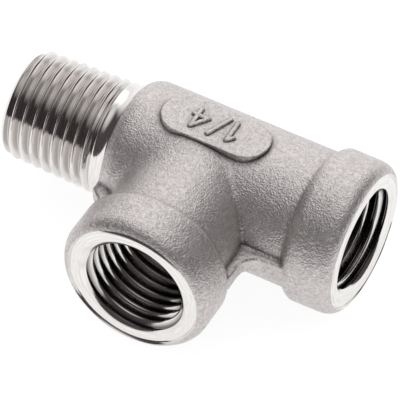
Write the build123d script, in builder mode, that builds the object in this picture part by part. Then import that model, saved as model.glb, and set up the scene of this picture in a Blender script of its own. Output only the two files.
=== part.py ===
from build123d import *
import os

# Cast pipe tee with a male end: taper thread and socket on the run, socket on the branch.
# The run lies along X and the branch along -Y, and their axes cross at the origin.

# Driving dimensions, in millimetres

# Reach of the three ends from the crossing of the axes
centre_to_run_socket = 19.3
centre_to_branch_socket = 19.3
centre_to_male_tip = 24.2

# Quarter inch pipe thread
gauge_diameter = 13.157
gauge_length = 6.0
thread_depth = 0.856
thread_taper = 1 / 16

# Male end
neck_length = 1.1
tip_chamfer = 0.8
male_bore_radius = 4.0

# Sockets, and how far their mouths open past the thread
socket_depth = 11.5
mouth_relief = 0.42
mouth_angle = 90

# Cast hollow behind the sockets, and the casting's wall round it
tapping_allowance = 0.32
core_reach = 6.5
core_wall = 2.8

# Cast outside
branch_step = 0.2
band_rise = 0.95
band_length = 6.5
band_back_slope = 1.2
lip_round = 1.1
shoulder_reach = 11.0
shoulder_round = 1.1
junction_fillet = 1.2

# Casting left on the lips and the shoulder, which is then turned off flat
facing_allowance = 0.35

# Web that fills each crotch along the mould's parting plane
web_thickness = 2.0
web_radius = 5.0

# Flat pad for the size mark
pad_length = 13.3
pad_width = 5.8
pad_rise = 0.35

# Sizes that follow from the driving dimensions
tip_x = -centre_to_male_tip
shoulder_x = -shoulder_reach
neck_x = shoulder_x - neck_length
socket_radius = gauge_diameter / 2 - thread_depth
mouth_radius = gauge_diameter / 2 + mouth_relief
core_radius = socket_radius - tapping_allowance
barrel_radius = core_radius + core_wall
branch_radius = barrel_radius - branch_step
band_radius = barrel_radius + band_rise
pad_height = barrel_radius + pad_rise
pad_root = barrel_radius - core_wall / 2

# Planes of the turned faces, each facing outwards, and the one that the branch's section is drawn on
run_face = Plane.YZ.offset(centre_to_run_socket)
branch_face = Plane.XZ.offset(centre_to_branch_socket)
shoulder_face = Plane(origin=(shoulder_x, 0, 0), z_dir=(-1, 0, 0))
male_face = Plane(origin=(tip_x, 0, 0), z_dir=(-1, 0, 0))
branch_plane = Plane(origin=(0, 0, 0), x_dir=(0, -1, 0), z_dir=(0, 0, 1))
branch_axis = Axis((0, 0, 0), (0, -1, 0))


def crest_radius(x):
    """Radius over the male thread's crests, which grow from the tip towards the body."""
    return gauge_diameter / 2 + (x - tip_x - gauge_length) * thread_taper / 2


def banded_barrel(reach, radius, back_end):
    """Corners of half a barrel's section as cast, with a reinforcing band at its socket end."""
    band_x = reach - band_length
    cast_end = reach + facing_allowance
    return [
        (back_end, 0),
        (back_end, radius),
        (band_x, radius),
        (band_x + band_back_slope, band_radius),
        (cast_end, band_radius),
        (cast_end, 0),
    ]


def outer_corners(section):
    """Corners off the axis of a half section, in order from its back end to its socket face."""
    return section.vertices().filter_by(lambda corner: corner.Y > 0).sort_by(Axis.X)


with BuildPart() as tee_body:
    # Run barrel, from its shoulder to the band round its socket
    with BuildSketch(Plane.XY) as run_section:
        with BuildLine():
            Polyline(
                *banded_barrel(centre_to_run_socket, barrel_radius, shoulder_x - facing_allowance),
                close=True,
            )
        make_face()
        fillet(outer_corners(run_section)[0], radius=shoulder_round)
        fillet(outer_corners(run_section)[-1], radius=lip_round)
    revolve(axis=Axis.X)

    # Branch barrel with the same band
    with BuildSketch(branch_plane) as branch_section:
        with BuildLine():
            Polyline(*banded_barrel(centre_to_branch_socket, branch_radius, 0), close=True)
        make_face()
        fillet(outer_corners(branch_section)[-1], radius=lip_round)
    revolve(axis=branch_axis)

    # Cast fillet all round the junction of branch and run
    junction = tee_body.edges(Select.NEW).filter_by(GeomType.CIRCLE, reverse=True)
    fillet(junction, radius=junction_fillet)

    # Web plate in both crotches, its free edge a large arc tangent to both barrels
    web_x = branch_radius + web_radius
    web_y = barrel_radius + web_radius
    with BuildSketch(Plane.XY) as web_plan:
        with BuildLine():
            Polyline((shoulder_x, 0), (web_x, 0), (web_x, -web_y), (shoulder_x, -web_y), close=True)
        make_face()
        with Locations((-web_x, -web_y), (web_x, -web_y)):
            Circle(web_radius, mode=Mode.SUBTRACT)
    extrude(amount=web_thickness / 2, both=True)

    # Pad on top of the run, above the crossing
    with BuildSketch(Plane.XY.offset(pad_height)) as pad_plan:
        SlotOverall(pad_length, pad_width)
    extrude(amount=pad_root - pad_height)

    # Shoulder and both socket ends turned flat, which leaves part of each cast round
    for face_plane in (shoulder_face, run_face, branch_face):
        with BuildSketch(face_plane):
            Circle(band_radius)
        extrude(amount=facing_allowance, mode=Mode.SUBTRACT)

    # Male end over the thread's crests, with its chamfered tip and the plain neck behind it
    with BuildSketch(Plane.XY) as male_section:
        with BuildLine():
            Polyline(
                (tip_x, 0),
                (tip_x, crest_radius(tip_x) - tip_chamfer),
                (tip_x + tip_chamfer, crest_radius(tip_x + tip_chamfer)),
                (neck_x, crest_radius(neck_x)),
                (-core_reach, crest_radius(neck_x)),
                (-core_reach, 0),
                close=True,
            )
        make_face()
    revolve(axis=Axis.X)

    # Cast core: through the run to the male end's bore, and out along the branch
    with BuildSketch(Plane.YZ.offset(-core_reach)):
        Circle(core_radius)
    extrude(amount=core_reach + centre_to_run_socket, mode=Mode.SUBTRACT)
    with BuildSketch(Plane.XZ):
        Circle(core_radius)
    extrude(amount=centre_to_branch_socket, mode=Mode.SUBTRACT)

    # Sockets at the thread's minor diameter, with chamfered mouths
    with Locations(run_face, branch_face):
        CounterSinkHole(socket_radius, mouth_radius, socket_depth, mouth_angle)

    # Bore of the male end
    with Locations(male_face):
        Hole(male_bore_radius, depth=centre_to_male_tip - core_reach)

tee_body.part.label = "tee_body"
os.makedirs("parts", exist_ok=True)
export_step(tee_body.part, "parts/tee_body.step")
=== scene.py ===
import math

import bmesh
import bpy
import numpy as np
from mathutils import Matrix, Vector, noise


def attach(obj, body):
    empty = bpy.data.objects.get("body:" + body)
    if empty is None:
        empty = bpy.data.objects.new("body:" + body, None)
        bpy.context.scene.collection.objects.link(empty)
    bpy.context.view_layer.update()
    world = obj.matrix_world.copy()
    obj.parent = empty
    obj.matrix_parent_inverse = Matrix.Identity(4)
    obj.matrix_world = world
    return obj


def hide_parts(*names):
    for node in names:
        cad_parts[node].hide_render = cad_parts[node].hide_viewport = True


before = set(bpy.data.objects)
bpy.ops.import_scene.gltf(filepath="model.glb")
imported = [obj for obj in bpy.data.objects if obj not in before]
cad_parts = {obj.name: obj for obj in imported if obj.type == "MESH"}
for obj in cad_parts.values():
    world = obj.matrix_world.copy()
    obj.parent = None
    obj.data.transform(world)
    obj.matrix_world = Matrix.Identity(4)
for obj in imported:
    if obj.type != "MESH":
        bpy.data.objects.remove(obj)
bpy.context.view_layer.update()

mm = 0.001  # the dictionaries below are in millimetres

tee = {
    "runReach": 19.3,
    "branchReach": 19.3,
    "tipReach": 24.2,
    "barrelRadius": 8.2,
    "branchRadius": 8.0,
    "bandRadius": 9.15,
    "bandStart": 12.7,  # where the band's back slope begins, from the crossing
    "bandSlope": 0.85,
    "bandFoot": 0.05,
    "bandTop": 0.55,
    "lipRoll": 2.1,  # how far the cast lip's round runs back, and in
    "castPast": 0.05,  # casting left on each lip before its face is turned
    "faceRadius": 8.05,  # where the turned face ends, and how far it has fallen back by then
    "faceFall": 0.4,
    "shoulderX": -11.0,
    "shoulderSoftness": 2.3,
    "coreRadius": 5.4,
    "coreReach": 6.5,
    "maleBore": 4.0,
}

casting = {
    "voxel": 0.26,
    "runSoftness": 0.4,  # blend of branch into run on the socket side
    "maleSideSoftness": 2.2,  # and on the male side, where the valley is wider
    "webThick": 2.0,
    "webReach": 9.0,  # from either axis to the web's free edge
    "webRadius": 2.2,  # in the corner of that edge
    "webFar": 13.3,  # where the web ends, under the bands
    "webEdge": 0.12,
    "webFoot": 0.18,
    "webEnd": 1.5,
    "waviness": 0.035,
    "wavinessSize": 3.2,
    "pitting": 0.012,
    "pittingSize": 0.75,
}

pad = {
    "length": 13.3,
    "width": 5.8,
    "height": 8.6,
    "root": 6.0,
    "edge": 0.14,
    "around": 72,
    "markHeight": 2.8,  # the size mark's strokes are beads, half sunk in the pad
    "markRadius": 0.36,
    "markSunk": 0.1,
}

# Strokes of the size mark 1/4, as places along the line and up it, in shares of its height
sizeMark = [
    [(0.16, 0.78), (0.36, 1.0), (0.36, 0.0)],
    [(0.72, -0.05), (1.18, 1.05)],
    [(1.98, 0.0), (1.98, 1.0), (1.50, 0.34), (2.14, 0.34)],
]

pipeThread = {
    "pitch": 1.337,
    "depth": 0.856,
    "gaugeRadius": 6.5785,
    "gaugeLength": 6.0,  # gauge plane's distance from the tip
    "taper": 1 / 32,  # growth of the radius along the axis
    "samples": 16,  # points across one turn's profile
    "aroundMale": 96,
    "aroundSocket": 84,
    "crestAt": -23.33,  # a crest's place on the +Y side of the male end
    "fadeMale": (-13.3, -12.2),  # where the last turns run out, ahead of the plain neck
    "fadeSocket": (9.6, 8.2),
    "tipChamfer": 0.8,
    # hollow round between the last turns and the shoulder, as places along X and radii
    "neck": ((-12.2, 6.74), (-11.6, 6.80), (-11.2, 6.93), (-10.95, 7.08), (-10.75, 7.22), (-10.4, 7.3)),
    "mouth": ((0.0, 7.0), (0.33, 6.3), (1.05, 5.58)),  # depth and radius down the opened mouth
    "socketDepth": 11.5,
    "crestAtRun": 18.6,
    "crestAtBranch": 18.9,
}


def softStep(x, start, end):
    t = np.clip((x - start) / (end - start), 0, 1)
    return t * t * (3 - 2 * t)


def softMin(a, b, k):
    h = np.clip(0.5 + 0.5 * (b - a) / k, 0, 1)
    return b + (a - b) * h - k * h * (1 - h)


def softMax(a, b, k):
    return -softMin(-a, -b, k)


def bandedRadius(along, radius):
    rise = (tee["bandRadius"] - radius) * (along - tee["bandStart"]) / tee["bandSlope"]
    slope = softMax(radius, radius + rise, tee["bandFoot"])
    return softMin(slope, tee["bandRadius"], tee["bandTop"])


def barrelDistance(along, across, radius, reach):
    side = across - bandedRadius(along, radius)
    return softMax(side, along - reach - tee["castPast"], tee["lipRoll"])


def webDistance(x, y, z):
    # past both barrels the free edge keeps its distance, and its corner is an arc
    r = casting["webRadius"]
    a = np.abs(x) - casting["webReach"]
    b = -y - casting["webReach"]
    edge = np.maximum(r, np.minimum(a, b)) - np.hypot(np.maximum(r - a, 0), np.maximum(r - b, 0))
    d = softMax(np.abs(z) - casting["webThick"] / 2, edge, casting["webEdge"])
    d = np.maximum(d, np.maximum(np.abs(x), -y) - casting["webFar"])
    d = np.maximum(d, y)
    return softMax(d, tee["shoulderX"] - x, casting["webEnd"])


def castDistance(p):
    # signed distance to the casting's skin, near enough to walk a vertex onto it
    x, y, z = p[:, 0], p[:, 1], p[:, 2]
    run = barrelDistance(x, np.hypot(y, z), tee["barrelRadius"], tee["runReach"])
    run = softMax(run, tee["shoulderX"] - x, tee["shoulderSoftness"])
    branch = barrelDistance(-y, np.hypot(x, z), tee["branchRadius"], tee["branchReach"])
    branch = np.maximum(branch, y)
    side = softStep(x, -4.0, 4.0)
    blend = casting["maleSideSoftness"] + (casting["runSoftness"] - casting["maleSideSoftness"]) * side
    body = softMin(run, branch, blend)
    return softMin(body, webDistance(x, y, z), casting["webFoot"])


def castGradient(p):
    step = 0.01
    g = np.empty_like(p)
    for axis in range(3):
        shift = np.zeros(3)
        shift[axis] = step
        g[:, axis] = (castDistance(p + shift) - castDistance(p - shift)) / (2 * step)
    return g


def meshObject(name, vertices, faces):
    mesh = bpy.data.meshes.new(name)
    mesh.from_pydata(vertices, [], faces)
    obj = bpy.data.objects.new(name, mesh)
    bpy.context.scene.collection.objects.link(obj)
    return obj


def turned(name, profile, segments=96, axis="X"):
    # a closed solid of revolution from (along, radius) points that start and end on the axis
    vertices = []
    rings = []
    for along, radius in profile:
        if radius < 1e-9:
            rings.append([len(vertices)] * segments)
            vertices.append((along, 0, 0))
        else:
            rings.append(list(range(len(vertices), len(vertices) + segments)))
            for i in range(segments):
                a = 2 * math.pi * i / segments
                vertices.append((along, radius * math.cos(a), radius * math.sin(a)))
    faces = []
    for low, high in zip(rings, rings[1:]):
        for i in range(segments):
            j = (i + 1) % segments
            corners = [low[i], high[i], high[j], low[j]]
            face = [c for k, c in enumerate(corners) if c not in corners[:k]]
            if len(face) > 2:
                faces.append(face)
    if axis == "-Y":
        vertices = [(y, -x, z) for x, y, z in vertices]
    vertices = [(x * mm, y * mm, z * mm) for x, y, z in vertices]
    obj = meshObject(name, vertices, faces)
    faceOutwards(obj)
    return obj


def faceOutwards(obj):
    bm = bmesh.new()
    bm.from_mesh(obj.data)
    bmesh.ops.recalc_face_normals(bm, faces=bm.faces)
    bm.to_mesh(obj.data)
    bm.free()


def applied(obj):
    # the evaluated object as a plain mesh, with its modifiers gone
    depsgraph = bpy.context.evaluated_depsgraph_get()
    mesh = bpy.data.meshes.new_from_object(obj.evaluated_get(depsgraph), depsgraph=depsgraph)
    obj.modifiers.clear()
    obj.data = mesh
    return obj


def blockedOutCasting():
    # rough solid that covers the casting, remeshed to an even skin
    c = tee
    reach = c["runReach"] + c["castPast"]
    start = c["bandStart"] + c["bandSlope"] / 2
    run = turned("runBlock", [
        (c["shoulderX"], 0), (c["shoulderX"], c["barrelRadius"] - 0.4), (c["shoulderX"] + 0.4, c["barrelRadius"]),
        (start, c["barrelRadius"]), (start + 0.5, c["bandRadius"]), (reach, c["bandRadius"]), (reach, 0)])
    branch = turned("branchBlock", [
        (0, 0), (0, c["branchRadius"]), (start, c["branchRadius"]), (start + 0.5, c["bandRadius"]),
        (reach, c["bandRadius"]), (reach, 0)], axis="-Y")
    webs = []
    edge = casting["webReach"]
    corner = edge + casting["webRadius"]
    half = casting["webThick"] / 2
    for side, far in ((1, casting["webFar"]), (-1, -c["shoulderX"])):
        outline = [(0, 0), (far, 0), (far, -edge)]
        for i in range(17):
            a = math.pi / 2 * (1 + i / 16)
            x = corner + casting["webRadius"] * math.cos(a)
            if x < far:
                outline.append((x, -corner + casting["webRadius"] * math.sin(a)))
        outline += [(edge, -casting["webFar"]), (0, -casting["webFar"])]
        webs.append(stacked("webBlock", [[(side * x, y, z) for x, y in outline] for z in (-half, half)]))
    return joined([run, branch, *webs], "castSkin")


def stacked(name, rings):
    # a closed solid from rings of as many points each, with its first and last ring filled
    n = len(rings[0])
    vertices = [(x * mm, y * mm, z * mm) for ring in rings for x, y, z in ring]
    faces = [list(range(n))[::-1], list(range(len(vertices) - n, len(vertices)))]
    for low in range(0, len(vertices) - n, n):
        for i in range(n):
            j = (i + 1) % n
            faces.append([low + i, low + j, low + n + j, low + n + i])
    obj = meshObject(name, vertices, faces)
    faceOutwards(obj)
    return obj


def padBlank():
    # the pad with its top edge rounded; one more ring inside keeps its top flat
    half = (pad["length"] - pad["width"]) / 2
    steps = [(0, pad["root"])]
    for degrees in (0, 30, 60, 90):
        a = math.radians(degrees)
        steps.append((pad["edge"] * (1 - math.cos(a)), pad["height"] - pad["edge"] * (1 - math.sin(a))))
    steps.append((2 * pad["edge"], pad["height"]))
    rings = []
    for inset, z in steps:
        radius = pad["width"] / 2 - inset
        ring = []
        for i in range(pad["around"]):
            a = 2 * math.pi * (i + 0.5) / pad["around"]
            ring.append((math.copysign(half, math.cos(a)) + radius * math.cos(a), radius * math.sin(a), z))
        rings.append(ring)
    return stacked("padBlank", rings)


def markStroke(start, end):
    # one bead of the size mark, which reads from the side away from the branch
    r = pad["markRadius"]
    x0, y0, x1, y1 = (pad["markHeight"] * v for v in (*start, *end))
    length = math.hypot(x1 - x0, y1 - y0)
    profile = []
    for i in range(5):
        a = math.pi / 2 * i / 4
        profile.append((-r * math.cos(a), r * math.sin(a)))
    profile += [(length - along, radius) for along, radius in reversed(profile)]
    stroke = turned("markStroke", profile, 16)
    place = Matrix.Translation(Vector((x0, y0, 0)) * mm) @ Matrix.Rotation(math.atan2(y1 - y0, x1 - x0), 4, "Z")
    width = sizeMark[-1][-1][0] * pad["markHeight"]
    centre = Matrix.Translation(Vector((-width / 2, -pad["markHeight"] / 2, 0)) * mm)
    onPad = Matrix.Translation((0, 0, (pad["height"] - pad["markSunk"]) * mm)) @ Matrix.Rotation(math.pi, 4, "Z")
    stroke.data.transform(onPad @ centre @ place)
    return stroke


def joined(objects, name):
    for obj in bpy.context.selected_objects:
        obj.select_set(False)
    for obj in objects:
        obj.select_set(True)
    bpy.context.view_layer.objects.active = objects[0]
    bpy.ops.object.join()
    objects[0].name = name
    return objects[0]


def castSkin():
    skin = blockedOutCasting()
    remesh = skin.modifiers.new("evenSkin", "REMESH")
    remesh.mode = "VOXEL"
    remesh.voxel_size = casting["voxel"] * mm
    applied(skin)
    mesh = skin.data
    count = len(mesh.vertices)
    co = np.empty(count * 3)
    mesh.vertices.foreach_get("co", co)
    p = co.reshape(-1, 3) / mm
    edges = np.empty(len(mesh.edges) * 2, dtype=np.int64)
    mesh.edges.foreach_get("vertices", edges)
    a, b = edges[0::2], edges[1::2]
    degree = np.bincount(a, minlength=count) + np.bincount(b, minlength=count)
    for sweep in range(8):
        for relax in range(2):
            total = np.zeros_like(p)
            np.add.at(total, a, p[b])
            np.add.at(total, b, p[a])
            p = 0.5 * p + 0.5 * total / degree[:, None]
        for settle in range(3):
            g = castGradient(p)
            p -= g * (castDistance(p) / np.maximum((g * g).sum(1), 0.2))[:, None]
    g = castGradient(p)
    g /= np.linalg.norm(g, axis=1)[:, None]
    p += g * surfaceUnevenness(p)[:, None]
    mesh.vertices.foreach_set("co", (p * mm).ravel())
    mesh.update()
    return skin


def surfaceUnevenness(p):
    c = casting
    out = np.empty(len(p))
    for i, (x, y, z) in enumerate(p):
        slow = noise.noise(Vector((x, y, z)) / c["wavinessSize"])
        quick = noise.noise(Vector((x + 31, y, z)) / c["pittingSize"])
        out[i] = c["waviness"] * slow + c["pitting"] * quick
    return out


def threadTree():
    # a closed threaded bar: a grid wound round the axis, its rows following the helix
    tree = bpy.data.node_groups.new("threadedBar", "GeometryNodeTree")
    face = tree.interface
    sizes = ("Start", "End", "Pitch", "Depth", "Gauge Radius", "Gauge At", "Taper", "Crest At",
             "Fade From", "Fade To", "Fade Level")
    for name in sizes:
        face.new_socket(name, in_out="INPUT", socket_type="NodeSocketFloat")
    for name in ("Profile Samples", "Around"):
        face.new_socket(name, in_out="INPUT", socket_type="NodeSocketInt")
    face.new_socket("Material", in_out="INPUT", socket_type="NodeSocketMaterial")
    face.new_socket("Geometry", in_out="OUTPUT", socket_type="NodeSocketGeometry")
    nodes, links = tree.nodes, tree.links
    inputs = nodes.new("NodeGroupInput")
    output = nodes.new("NodeGroupOutput")

    def put(socket, value):
        if hasattr(value, "is_output"):
            links.new(value, socket)
        else:
            socket.default_value = value

    def maths(operation, first, second=0.0, third=0.0):
        node = nodes.new("ShaderNodeMath")
        node.operation = operation
        for socket, value in zip(node.inputs, (first, second, third)):
            put(socket, value)
        return node.outputs[0]

    def get(name):
        return inputs.outputs[name]

    pitch = get("Pitch")
    length = maths("SUBTRACT", get("End"), get("Start"))
    turns = maths("CEIL", maths("DIVIDE", length, pitch))
    rows = maths("MULTIPLY", maths("ADD", turns, 5.0), get("Profile Samples"))
    grid = nodes.new("GeometryNodeMeshGrid")
    grid.inputs["Size X"].default_value = 1.0
    grid.inputs["Size Y"].default_value = 1.0
    put(grid.inputs["Vertices X"], maths("ADD", rows, 1.0))
    put(grid.inputs["Vertices Y"], maths("ADD", get("Around"), 1.0))

    place = nodes.new("ShaderNodeSeparateXYZ")
    links.new(nodes.new("GeometryNodeInputPosition").outputs[0], place.inputs[0])
    row = maths("ROUND", maths("MULTIPLY", maths("ADD", place.outputs[0], 0.5), rows))
    turn = maths("ADD", place.outputs[1], 0.5)
    angle = maths("MULTIPLY", turn, 2 * math.pi)

    # rows start up to three turns before the bar does, in step with the crest
    lead = maths("FRACT", maths("DIVIDE", maths("SUBTRACT", get("Crest At"), get("Start")), pitch))
    first = maths("SUBTRACT", get("Start"), maths("MULTIPLY", maths("SUBTRACT", 3.0, lead), pitch))
    steps = maths("DIVIDE", row, get("Profile Samples"))
    wound = maths("ADD", first, maths("MULTIPLY", maths("ADD", steps, turn), pitch))
    along = maths("MINIMUM", maths("MAXIMUM", wound, get("Start")), get("End"))

    # height of the profile between root and crest, crests and roots rounded
    wave = maths("PINGPONG", steps, 0.5)
    curve = nodes.new("ShaderNodeFloatCurve")
    points = curve.mapping.curves[0].points
    points[0].location = (0.0, 1.0)
    points[1].location = (1.0, 0.0)
    for x, y in ((0.12, 0.965), (0.24, 0.83), (0.76, 0.17), (0.88, 0.035)):
        points.new(x, y)
    curve.mapping.update()
    put(curve.inputs["Value"], maths("MULTIPLY", wave, 2.0))
    fade = nodes.new("ShaderNodeMapRange")
    put(fade.inputs["Value"], along)
    put(fade.inputs["From Min"], get("Fade From"))
    put(fade.inputs["From Max"], get("Fade To"))
    sunk = maths("SUBTRACT", 1.0, curve.outputs[0])
    faded = maths("MULTIPLY_ADD", maths("SUBTRACT", get("Fade Level"), sunk), fade.outputs[0], sunk)
    hollow = maths("MULTIPLY", faded, get("Depth"))
    crest = maths("MULTIPLY_ADD", maths("SUBTRACT", along, get("Gauge At")), get("Taper"), get("Gauge Radius"))
    radius = maths("SUBTRACT", crest, hollow)

    # rows past either end lie in the end face and close on the axis
    over = maths("DIVIDE", maths("ABSOLUTE", maths("SUBTRACT", wound, along)), pitch)
    closing = maths("SUBTRACT", 1.0, maths("MINIMUM", maths("MULTIPLY", over, 1.0001), 1.0))
    radius = maths("MULTIPLY", radius, closing)

    spot = nodes.new("ShaderNodeCombineXYZ")
    put(spot.inputs[0], along)
    put(spot.inputs[1], maths("MULTIPLY", radius, maths("COSINE", angle)))
    put(spot.inputs[2], maths("MULTIPLY", radius, maths("SINE", angle)))
    wind = nodes.new("GeometryNodeSetPosition")
    links.new(grid.outputs["Mesh"], wind.inputs["Geometry"])
    links.new(spot.outputs[0], wind.inputs["Position"])
    weld = nodes.new("GeometryNodeMergeByDistance")
    weld.inputs["Distance"].default_value = 2e-7
    links.new(wind.outputs[0], weld.inputs["Geometry"])
    whole = nodes.new("GeometryNodeRealizeInstances")
    links.new(weld.outputs[0], whole.inputs[0])
    finish = nodes.new("GeometryNodeSetMaterial")
    links.new(whole.outputs[0], finish.inputs["Geometry"])
    links.new(get("Material"), finish.inputs["Material"])
    links.new(finish.outputs[0], output.inputs[0])
    return tree


def threadedBar(tree, name, values, material, axis="X"):
    obj = meshObject(name, [], [])
    modifier = obj.modifiers.new("thread", "NODES")
    modifier.node_group = tree
    identifiers = {item.name: item.identifier for item in tree.interface.items_tree
                   if item.item_type == "SOCKET" and item.in_out == "INPUT"}
    for key, value in values.items():
        modifier[identifiers[key]] = value
    modifier[identifiers["Material"]] = material
    applied(obj)
    paint(obj, material)
    if axis == "-Y":
        obj.data.transform(Matrix.Rotation(-math.pi / 2, 4, "Z"))
    faceOutwards(obj)
    return obj


def openEdges(obj):
    mesh = obj.data
    sides = np.empty(len(mesh.loops), dtype=np.int64)
    mesh.loops.foreach_get("edge_index", sides)
    return int((np.bincount(sides, minlength=len(mesh.edges)) != 2).sum())


def cut(obj, tool, operation):
    if openEdges(obj) or openEdges(tool):
        raise RuntimeError(f"{obj.name} {openEdges(obj)} or {tool.name} {openEdges(tool)} isn't closed")
    modifier = obj.modifiers.new("cut", "BOOLEAN")
    modifier.operation = operation
    modifier.solver = "MANIFOLD"
    modifier.material_mode = "TRANSFER"
    modifier.object = tool
    applied(obj)
    bpy.data.objects.remove(tool)
    return obj



def shaderGroup(name, inputs, outputs):
    tree = bpy.data.node_groups.new(name, "ShaderNodeTree")
    for label, kind, value in inputs:
        socket = tree.interface.new_socket(label, in_out="INPUT", socket_type="NodeSocket" + kind)
        socket.default_value = value
    for label, kind in outputs:
        tree.interface.new_socket(label, in_out="OUTPUT", socket_type="NodeSocket" + kind)
    return tree, tree.nodes.new("NodeGroupInput"), tree.nodes.new("NodeGroupOutput")


def noiseNode(nodes, scale, detail, roughness=0.5, dimensions="3D"):
    node = nodes.new("ShaderNodeTexNoise")
    node.noise_dimensions = dimensions
    node.inputs["Scale"].default_value = scale
    node.inputs["Detail"].default_value = detail
    node.inputs["Roughness"].default_value = roughness
    return node


def blastedGrain():
    # grain left by the mould and the blasting: fine pits over a slower mottle
    tree, inputs, outputs = shaderGroup(
        "blastedGrain",
        [("Vector", "Vector", (0, 0, 0)), ("Fine Scale", "Float", 5000.0), ("Coarse Scale", "Float", 2000.0),
         ("Coarse Share", "Float", 0.45)],
        [("Height", "Float"), ("Mottle", "Float")])
    nodes, links = tree.nodes, tree.links
    fine = noiseNode(nodes, 1.0, 1.5, 0.6)
    coarse = noiseNode(nodes, 1.0, 2.0, 0.5)
    for node, name in ((fine, "Fine Scale"), (coarse, "Coarse Scale")):
        links.new(inputs.outputs["Vector"], node.inputs["Vector"])
        links.new(inputs.outputs[name], node.inputs["Scale"])
    height = nodes.new("ShaderNodeMath")
    height.operation = "MULTIPLY_ADD"
    links.new(coarse.outputs["Fac"], height.inputs[0])
    links.new(inputs.outputs["Coarse Share"], height.inputs[1])
    links.new(fine.outputs["Fac"], height.inputs[2])
    mottle = nodes.new("ShaderNodeMix")
    links.new(inputs.outputs["Coarse Share"], mottle.inputs[0])
    links.new(fine.outputs["Fac"], mottle.inputs[2])
    links.new(coarse.outputs["Fac"], mottle.inputs[3])
    links.new(height.outputs[0], outputs.inputs["Height"])
    links.new(mottle.outputs[0], outputs.inputs["Mottle"])
    return tree


def turningMarks():
    # rings left by the cutting tool, around either axis of the tee, broken up along their way;
    # Level is the radius, less a taper's growth along the axis
    tree, inputs, outputs = shaderGroup(
        "turningMarks",
        [("Vector", "Vector", (0, 0, 0)), ("Axis", "Vector", (1, 0, 0)), ("Scale", "Float", 9000.0),
         ("Break Scale", "Float", 260.0), ("Taper", "Float", 0.0)],
        [("Height", "Float"), ("Level", "Float")])
    nodes, links = tree.nodes, tree.links
    along = nodes.new("ShaderNodeVectorMath")
    along.operation = "DOT_PRODUCT"
    across = nodes.new("ShaderNodeVectorMath")
    across.operation = "CROSS_PRODUCT"
    for node in (along, across):
        links.new(inputs.outputs["Vector"], node.inputs[0])
        links.new(inputs.outputs["Axis"], node.inputs[1])
    length = nodes.new("ShaderNodeVectorMath")
    length.operation = "LENGTH"
    links.new(across.outputs["Vector"], length.inputs[0])
    add = nodes.new("ShaderNodeMath")
    links.new(along.outputs["Value"], add.inputs[0])
    links.new(length.outputs["Value"], add.inputs[1])
    place = nodes.new("ShaderNodeMath")
    place.operation = "MULTIPLY"
    links.new(add.outputs[0], place.inputs[0])
    links.new(inputs.outputs["Scale"], place.inputs[1])
    breaks = noiseNode(nodes, 1.0, 1.0)
    links.new(inputs.outputs["Vector"], breaks.inputs["Vector"])
    links.new(inputs.outputs["Break Scale"], breaks.inputs["Scale"])
    spread = nodes.new("ShaderNodeMath")
    spread.operation = "MULTIPLY"
    spread.inputs[1].default_value = 6.0
    links.new(breaks.outputs["Fac"], spread.inputs[0])
    spot = nodes.new("ShaderNodeCombineXYZ")
    links.new(place.outputs[0], spot.inputs[0])
    links.new(spread.outputs[0], spot.inputs[1])
    rings = noiseNode(nodes, 1.0, 1.0, 0.5, "2D")
    links.new(spot.outputs[0], rings.inputs["Vector"])
    links.new(rings.outputs["Fac"], outputs.inputs["Height"])
    growth = nodes.new("ShaderNodeMath")
    growth.operation = "MULTIPLY"
    links.new(along.outputs["Value"], growth.inputs[0])
    links.new(inputs.outputs["Taper"], growth.inputs[1])
    level = nodes.new("ShaderNodeMath")
    level.operation = "SUBTRACT"
    links.new(length.outputs["Value"], level.inputs[0])
    links.new(growth.outputs[0], level.inputs[1])
    links.new(level.outputs[0], outputs.inputs["Level"])
    return tree


def remapped(nodes, links, value, low, high):
    node = nodes.new("ShaderNodeMapRange")
    node.inputs["From Min"].default_value = 0.3
    node.inputs["From Max"].default_value = 0.7
    node.inputs["To Min"].default_value = low
    node.inputs["To Max"].default_value = high
    links.new(value, node.inputs["Value"])
    return node.outputs["Result"]


def mixedColour(nodes, links, factor, first, second):
    node = nodes.new("ShaderNodeMix")
    node.data_type = "RGBA"
    node.inputs[6].default_value = (*first, 1)
    node.inputs[7].default_value = (*second, 1)
    links.new(factor, node.inputs[0])
    return node.outputs[2]


castSteel = {
    "light": (0.80, 0.76, 0.75),
    "dark": (0.47, 0.435, 0.43),
    "metallic": 0.9,  # the blasted skin scatters part of the light evenly
    "roughness": (0.33, 0.45),
    "bump": 1.0,
    "bumpDepth": 0.105,
    "creaseShade": (0.07, 0.058, 0.058),  # painted shade that darkens the creases, where the skin is closed in
    "creaseReach": 0.8,
    "creaseShadeOpen": (0.58, 0.975),  # how open a spot is where the painted shade is full, and where it ends
}

turnedSteel = {
    "light": (0.86, 0.84, 0.82),
    "dark": (0.74, 0.72, 0.70),
    "chasedHollowShade": (0.60, 0.57, 0.555),  # painted shade in the thread flanks and roots, which the tool left torn
    "tappedHollowShade": (0.16, 0.145, 0.14),
    "hollowShadeEdge": (0.35, 0.92),  # where from root to crest the painted shade begins to clear, and has cleared
    "metallic": 1.0,
    "roughness": (0.09, 0.18),
    "bump": 0.5,
    "bumpDepth": 0.0025,
}


def newMaterial(name, metallic):
    material = bpy.data.materials.new(name)
    material.use_nodes = True
    nodes = material.node_tree.nodes
    nodes.clear()
    shader = nodes.new("ShaderNodeBsdfPrincipled")
    shader.inputs["Metallic"].default_value = metallic
    output = nodes.new("ShaderNodeOutputMaterial")
    material.node_tree.links.new(shader.outputs[0], output.inputs[0])
    return material, nodes, material.node_tree.links, shader


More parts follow.
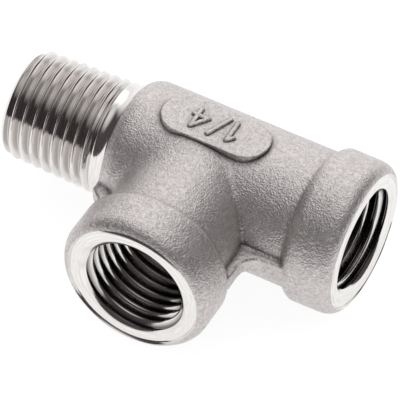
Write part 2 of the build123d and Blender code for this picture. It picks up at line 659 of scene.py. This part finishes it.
def castMaterial(grain):
    c = castSteel
    material, nodes, links, shader = newMaterial("castSteel", c["metallic"])
    place = nodes.new("ShaderNodeTexCoord").outputs["Object"]
    group = nodes.new("ShaderNodeGroup")
    group.node_tree = grain
    links.new(place, group.inputs["Vector"])
    mottle = group.outputs["Mottle"]
    mottled = mixedColour(nodes, links, remapped(nodes, links, mottle, 0, 1), c["dark"], c["light"])
    # painted shade: where the ambient occlusion finds the skin closed in, the colour darkens towards the crease
    # shade colour
    openness = nodes.new("ShaderNodeAmbientOcclusion")
    openness.samples = 8
    openness.only_local = True
    openness.inputs["Distance"].default_value = c["creaseReach"] * mm
    unshaded = nodes.new("ShaderNodeMapRange")
    unshaded.inputs["From Min"].default_value, unshaded.inputs["From Max"].default_value = c["creaseShadeOpen"]
    links.new(openness.outputs["AO"], unshaded.inputs["Value"])
    colour = mixedColour(nodes, links, unshaded.outputs["Result"], c["creaseShade"], c["light"])
    links.new(mottled, colour.node.inputs[7])
    links.new(colour, shader.inputs["Base Color"])
    links.new(remapped(nodes, links, mottle, c["roughness"][1], c["roughness"][0]), shader.inputs["Roughness"])
    bump = nodes.new("ShaderNodeBump")
    bump.inputs["Strength"].default_value = c["bump"]
    bump.inputs["Distance"].default_value = c["bumpDepth"] * mm
    links.new(group.outputs["Height"], bump.inputs["Height"])
    links.new(bump.outputs[0], shader.inputs["Normal"])
    return material


def turnedMaterial(name, marks, axis, levels=None, hollow=None, taper=0.0):
    # levels are the radii of a thread's roots and crests, between which its painted hollow shade clears
    c = turnedSteel
    material, nodes, links, shader = newMaterial(name, c["metallic"])
    place = nodes.new("ShaderNodeTexCoord").outputs["Object"]
    group = nodes.new("ShaderNodeGroup")
    group.node_tree = marks
    group.inputs["Axis"].default_value = axis
    group.inputs["Taper"].default_value = taper
    links.new(place, group.inputs["Vector"])
    rings = group.outputs["Height"]
    colour = mixedColour(nodes, links, remapped(nodes, links, rings, 0, 1), c["dark"], c["light"])
    # painted shade: the thread's flanks and roots darken towards the roots, by the surface's radius
    if levels:
        root, crest = levels
        clear = nodes.new("ShaderNodeMapRange")
        for socket, share in zip(("From Min", "From Max"), c["hollowShadeEdge"]):
            clear.inputs[socket].default_value = (root + (crest - root) * share) * mm
        links.new(group.outputs["Level"], clear.inputs["Value"])
        shaded = mixedColour(nodes, links, clear.outputs["Result"], c[hollow], c["light"])
        links.new(colour, shaded.node.inputs[7])
        colour = shaded
    links.new(colour, shader.inputs["Base Color"])
    links.new(remapped(nodes, links, rings, c["roughness"][1], c["roughness"][0]), shader.inputs["Roughness"])
    bump = nodes.new("ShaderNodeBump")
    bump.inputs["Strength"].default_value = c["bump"]
    bump.inputs["Distance"].default_value = c["bumpDepth"] * mm
    links.new(group.outputs["Height"], bump.inputs["Height"])
    links.new(bump.outputs[0], shader.inputs["Normal"])
    return material


def paint(obj, material):
    obj.data.materials.clear()
    obj.data.materials.append(material)
    obj.data.polygons.foreach_set("material_index", [0] * len(obj.data.polygons))
    return obj


facing = {
    "above": 0.3,  # how far the tools reach past the lip
    "steps": 6,
    "stepSlope": 0.5,  # how steeply the step opens out, from the turned face up to the casting
    "segments": 128,
}


def facingTool(name, axis, reach):
    # turns the lip flat at the mouth, falls back outwards, and leaves a step up to the casting
    inner = pipeThread["mouth"][0][1]
    profile = [(reach, 0)]
    for i in range(facing["steps"] + 1):
        share = i / facing["steps"]
        radius = inner + (tee["faceRadius"] - inner) * share
        profile.append((reach - tee["faceFall"] * share ** 2, radius))
    high = reach + facing["above"]
    rise = tee["faceFall"] + facing["above"]
    profile += [(high, tee["faceRadius"] + rise * facing["stepSlope"]), (high, 0)]
    return turned(name + "Facing", profile, facing["segments"], axis)


def mouthTool(name, axis, reach):
    mouth = pipeThread["mouth"]
    profile = [(reach + facing["above"], 0), (reach + facing["above"], mouth[0][1])]
    profile += [(reach - depth, radius) for depth, radius in mouth]
    profile.append((reach - mouth[-1][0], 0))
    return turned(name + "Mouth", profile, facing["segments"], axis)


def machinedBody():
    t = pipeThread
    cast = castMaterial(blastedGrain())
    marks = turningMarks()
    root, crest = t["gaugeRadius"] - t["depth"], t["gaugeRadius"]
    lead = (tee["tipReach"] - t["gaugeLength"]) * t["taper"]
    levels = (root + lead, crest + lead)
    chased = turnedMaterial("chasedThread", marks, (1, 0, 0), levels, "chasedHollowShade", t["taper"])
    turnedRun = turnedMaterial("turnedRun", marks, (1, 0, 0))
    turnedBranch = turnedMaterial("turnedBranch", marks, (0, 1, 0))
    tappedRun = turnedMaterial("tappedRun", marks, (1, 0, 0), (crest, root), "tappedHollowShade")
    tappedBranch = turnedMaterial("tappedBranch", marks, (0, 1, 0), (crest, root), "tappedHollowShade")
    tree = threadTree()
    tipX = -tee["tipReach"]
    body = paint(castSkin(), cast)
    print("cast skin", len(body.data.polygons))
    cut(body, paint(padBlank(), cast), "UNION")
    for stroke in sizeMark:
        for start, end in zip(stroke, stroke[1:]):
            cut(body, paint(markStroke(start, end), cast), "UNION")
    print("pad and mark", len(body.data.polygons))

    male = threadedBar(tree, "maleThread", {
        "Start": (tipX - 0.5) * mm, "End": -8.0 * mm, "Pitch": t["pitch"] * mm, "Depth": t["depth"] * mm,
        "Gauge Radius": t["gaugeRadius"] * mm, "Gauge At": (tipX + t["gaugeLength"]) * mm, "Taper": t["taper"],
        "Crest At": t["crestAt"] * mm, "Fade From": t["fadeMale"][0] * mm, "Fade To": t["fadeMale"][1] * mm,
        "Fade Level": 0.0, "Profile Samples": t["samples"], "Around": t["aroundMale"]}, chased)
    crestAtTip = t["gaugeRadius"] - t["gaugeLength"] * t["taper"]
    over = crestAtTip + 0.9
    blank = paint(turned("maleBlank", [
        (tipX, 0), (tipX, crestAtTip - t["tipChamfer"]), (tipX + t["tipChamfer"] + 0.9, over), (-7.0, over),
        (-7.0, 0)]), turnedRun)
    cut(male, blank, "INTERSECT")
    cut(body, male, "UNION")
    neck = [(t["neck"][0][0], 0), *t["neck"], (-8.0, t["neck"][-1][1]), (-8.0, 0)]
    cut(body, paint(turned("neck", neck), turnedRun), "UNION")
    print("male end", len(body.data.polygons))

    for name, axis, reach, crestAt, material, tapped in (
            ("run", "X", tee["runReach"], t["crestAtRun"], turnedRun, tappedRun),
            ("branch", "-Y", tee["branchReach"], t["crestAtBranch"], turnedBranch, tappedBranch)):
        cut(body, paint(facingTool(name, axis, reach), material), "DIFFERENCE")
        back = -tee["coreReach"] if name == "run" else 0.0
        core = paint(turned(name + "Core", [
            (back, 0), (back, tee["coreRadius"]), (reach - 5, tee["coreRadius"]), (reach - 5, 0)], 80, axis), cast)
        cut(body, core, "DIFFERENCE")
        bottom = reach - t["socketDepth"]
        tap = threadedBar(tree, name + "Tap", {
            "Start": bottom * mm, "End": (reach + 0.6) * mm, "Pitch": t["pitch"] * mm, "Depth": t["depth"] * mm,
            "Gauge Radius": t["gaugeRadius"] * mm, "Gauge At": 0.0, "Taper": 0.0, "Crest At": crestAt * mm,
            "Fade From": t["fadeSocket"][0] * mm, "Fade To": t["fadeSocket"][1] * mm, "Fade Level": 1.0,
            "Profile Samples": t["samples"], "Around": t["aroundSocket"]}, tapped, axis)
        cut(body, tap, "DIFFERENCE")
        cut(body, paint(mouthTool(name, axis, reach), material), "DIFFERENCE")
        print(name, "socket", len(body.data.polygons))

    bore = paint(turned("maleBore", [
        (tipX - 1, 0), (tipX - 1, tee["maleBore"]), (-tee["coreReach"] + 1, tee["maleBore"]),
        (-tee["coreReach"] + 1, 0)], 72), turnedRun)
    cut(body, bore, "DIFFERENCE")
    body.name = "stainlessTee"
    body.data.shade_smooth()
    body.data.set_sharp_from_angle(angle=math.radians(40))
    return body


photoCamera = {
    "azimuth": 25.7926,
    "elevation": 46.8676,
    "roll": 3.2412,
    "focal": 5894.63,  # in pixels of the 400-pixel frame
    "right": 1.475,  # the crossing's place from the lens axis
    "up": 2.369,
    "distance": 662.55,
}


def addCamera():
    c = photoCamera
    az, el, roll = (math.radians(c[key]) for key in ("azimuth", "elevation", "roll"))
    ahead = Vector((-math.sin(az) * math.cos(el), math.cos(az) * math.cos(el), -math.sin(el)))
    level = ahead.cross(Vector((0, 0, 1))).normalized()
    upright = level.cross(ahead)
    right = level * math.cos(roll) + upright * math.sin(roll)
    up = upright * math.cos(roll) - level * math.sin(roll)
    spot = -(right * c["right"] + up * c["up"] + ahead * c["distance"]) * mm
    data = bpy.data.cameras.new("photoCamera")
    data.sensor_width = 36.0
    data.lens = c["focal"] / 400 * data.sensor_width
    data.clip_start = 0.01
    camera = bpy.data.objects.new("photoCamera", data)
    bpy.context.scene.collection.objects.link(camera)
    turn = Matrix((right, up, -ahead)).transposed()
    camera.matrix_world = Matrix.Translation(spot) @ turn.to_4x4()
    bpy.context.scene.camera = camera


studio = {
    "floorZ": -9.152,
    "floorSize": 3.0,
    "floorColour": (0.24, 0.24, 0.24),  # what the lamps light, and so how deep the shadow is
    "floorGlow": 0.86,
    "roomLight": 0.9,
    "cardFrom": (-0.38, 0.88, 0.30),  # the bright card stands behind the tee, a little to the left
    "cardEdge": (0.58, 0.86),  # cosines from the card's centre where it begins and is full
    "cardColour": (1.0, 0.985, 0.99),
    # the dark room round the camera: how far up each colour is, as the sine of its height
    "room": ((0.0, (0.062, 0.051, 0.057)), (0.2, (0.066, 0.054, 0.060)), (0.7, (0.065, 0.054, 0.055)),
             (1.0, (0.24, 0.20, 0.20))),
}


def addLamp(name, spot, size, power):
    data = bpy.data.lights.new(name, "AREA")
    data.energy = power
    data.shape = "RECTANGLE"
    data.size, data.size_y = size
    lamp = bpy.data.objects.new(name, data)
    lamp.location = spot
    lamp.rotation_mode = "QUATERNION"
    lamp.rotation_quaternion = (-Vector(spot)).to_track_quat("-Z", "Y")
    bpy.context.scene.collection.objects.link(lamp)
    return lamp


def addFloor():
    half = studio["floorSize"] / 2
    z = studio["floorZ"] * mm
    floor = meshObject("floor", [(-half, -half, z), (half, -half, z), (half, half, z), (-half, half, z)],
                       [(0, 1, 2, 3)])
    material = bpy.data.materials.new("paleFloor")
    material.use_nodes = True
    nodes, links = material.node_tree.nodes, material.node_tree.links
    nodes.clear()
    diffuse = nodes.new("ShaderNodeBsdfDiffuse")
    diffuse.inputs["Color"].default_value = (*studio["floorColour"], 1)
    glow = nodes.new("ShaderNodeEmission")
    path = nodes.new("ShaderNodeLightPath")
    seen = nodes.new("ShaderNodeMath")
    seen.operation = "MAXIMUM"
    links.new(path.outputs["Is Camera Ray"], seen.inputs[0])
    links.new(path.outputs["Is Glossy Ray"], seen.inputs[1])
    strength = nodes.new("ShaderNodeMath")
    strength.operation = "MULTIPLY"
    strength.inputs[1].default_value = studio["floorGlow"]
    links.new(seen.outputs[0], strength.inputs[0])
    links.new(strength.outputs[0], glow.inputs["Strength"])
    both = nodes.new("ShaderNodeAddShader")
    links.new(diffuse.outputs[0], both.inputs[0])
    links.new(glow.outputs[0], both.inputs[1])
    output = nodes.new("ShaderNodeOutputMaterial")
    links.new(both.outputs[0], output.inputs[0])
    floor.data.materials.append(material)


def addWorld():
    world = bpy.data.worlds.new("studioWorld")
    bpy.context.scene.world = world
    world.use_nodes = True
    nodes, links = world.node_tree.nodes, world.node_tree.links
    nodes.clear()
    path = nodes.new("ShaderNodeLightPath")
    facing = nodes.new("ShaderNodeVectorMath")
    facing.operation = "DOT_PRODUCT"
    facing.inputs[1].default_value = Vector(studio["cardFrom"]).normalized()
    links.new(nodes.new("ShaderNodeTexCoord").outputs["Generated"], facing.inputs[0])
    card = nodes.new("ShaderNodeMapRange")
    card.interpolation_type = "SMOOTHSTEP"
    card.inputs["From Min"].default_value, card.inputs["From Max"].default_value = studio["cardEdge"]
    links.new(facing.outputs["Value"], card.inputs["Value"])
    up = nodes.new("ShaderNodeSeparateXYZ")
    links.new(facing.inputs[0].links[0].from_socket, up.inputs[0])
    dark = nodes.new("ShaderNodeValToRGB")
    stops = dark.color_ramp.elements
    for i, (height, colour) in enumerate(studio["room"]):
        stop = stops[0] if i == 0 else stops.new(height)
        stop.position = height
        stop.color = (*colour, 1)
    stops.remove(stops[len(stops) - 1])
    links.new(up.outputs[2], dark.inputs[0])
    room = mixedColour(nodes, links, card.outputs[0], (0, 0, 0), studio["cardColour"])
    links.new(dark.outputs[0], room.node.inputs[6])
    plain = (studio["roomLight"],) * 3
    lit = mixedColour(nodes, links, path.outputs["Is Glossy Ray"], plain, plain)
    links.new(room, lit.node.inputs[7])
    seen = mixedColour(nodes, links, path.outputs["Is Camera Ray"], plain, (1.0, 1.0, 1.0))
    links.new(lit, seen.node.inputs[6])
    background = nodes.new("ShaderNodeBackground")
    links.new(seen, background.inputs["Color"])
    output = nodes.new("ShaderNodeOutputWorld")
    links.new(background.outputs[0], output.inputs[0])


body = machinedBody()
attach(body, "root")
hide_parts("tee_body")
addCamera()
addFloor()
addWorld()
addLamp("backSoftbox", (-0.25, 0.5, 0.45), (0.6, 0.5), 0.35)
addLamp("overhead", (0.0, 0.1, 0.9), (0.6, 0.6), 0.3)
bpy.context.scene.view_settings.view_transform = "Standard"
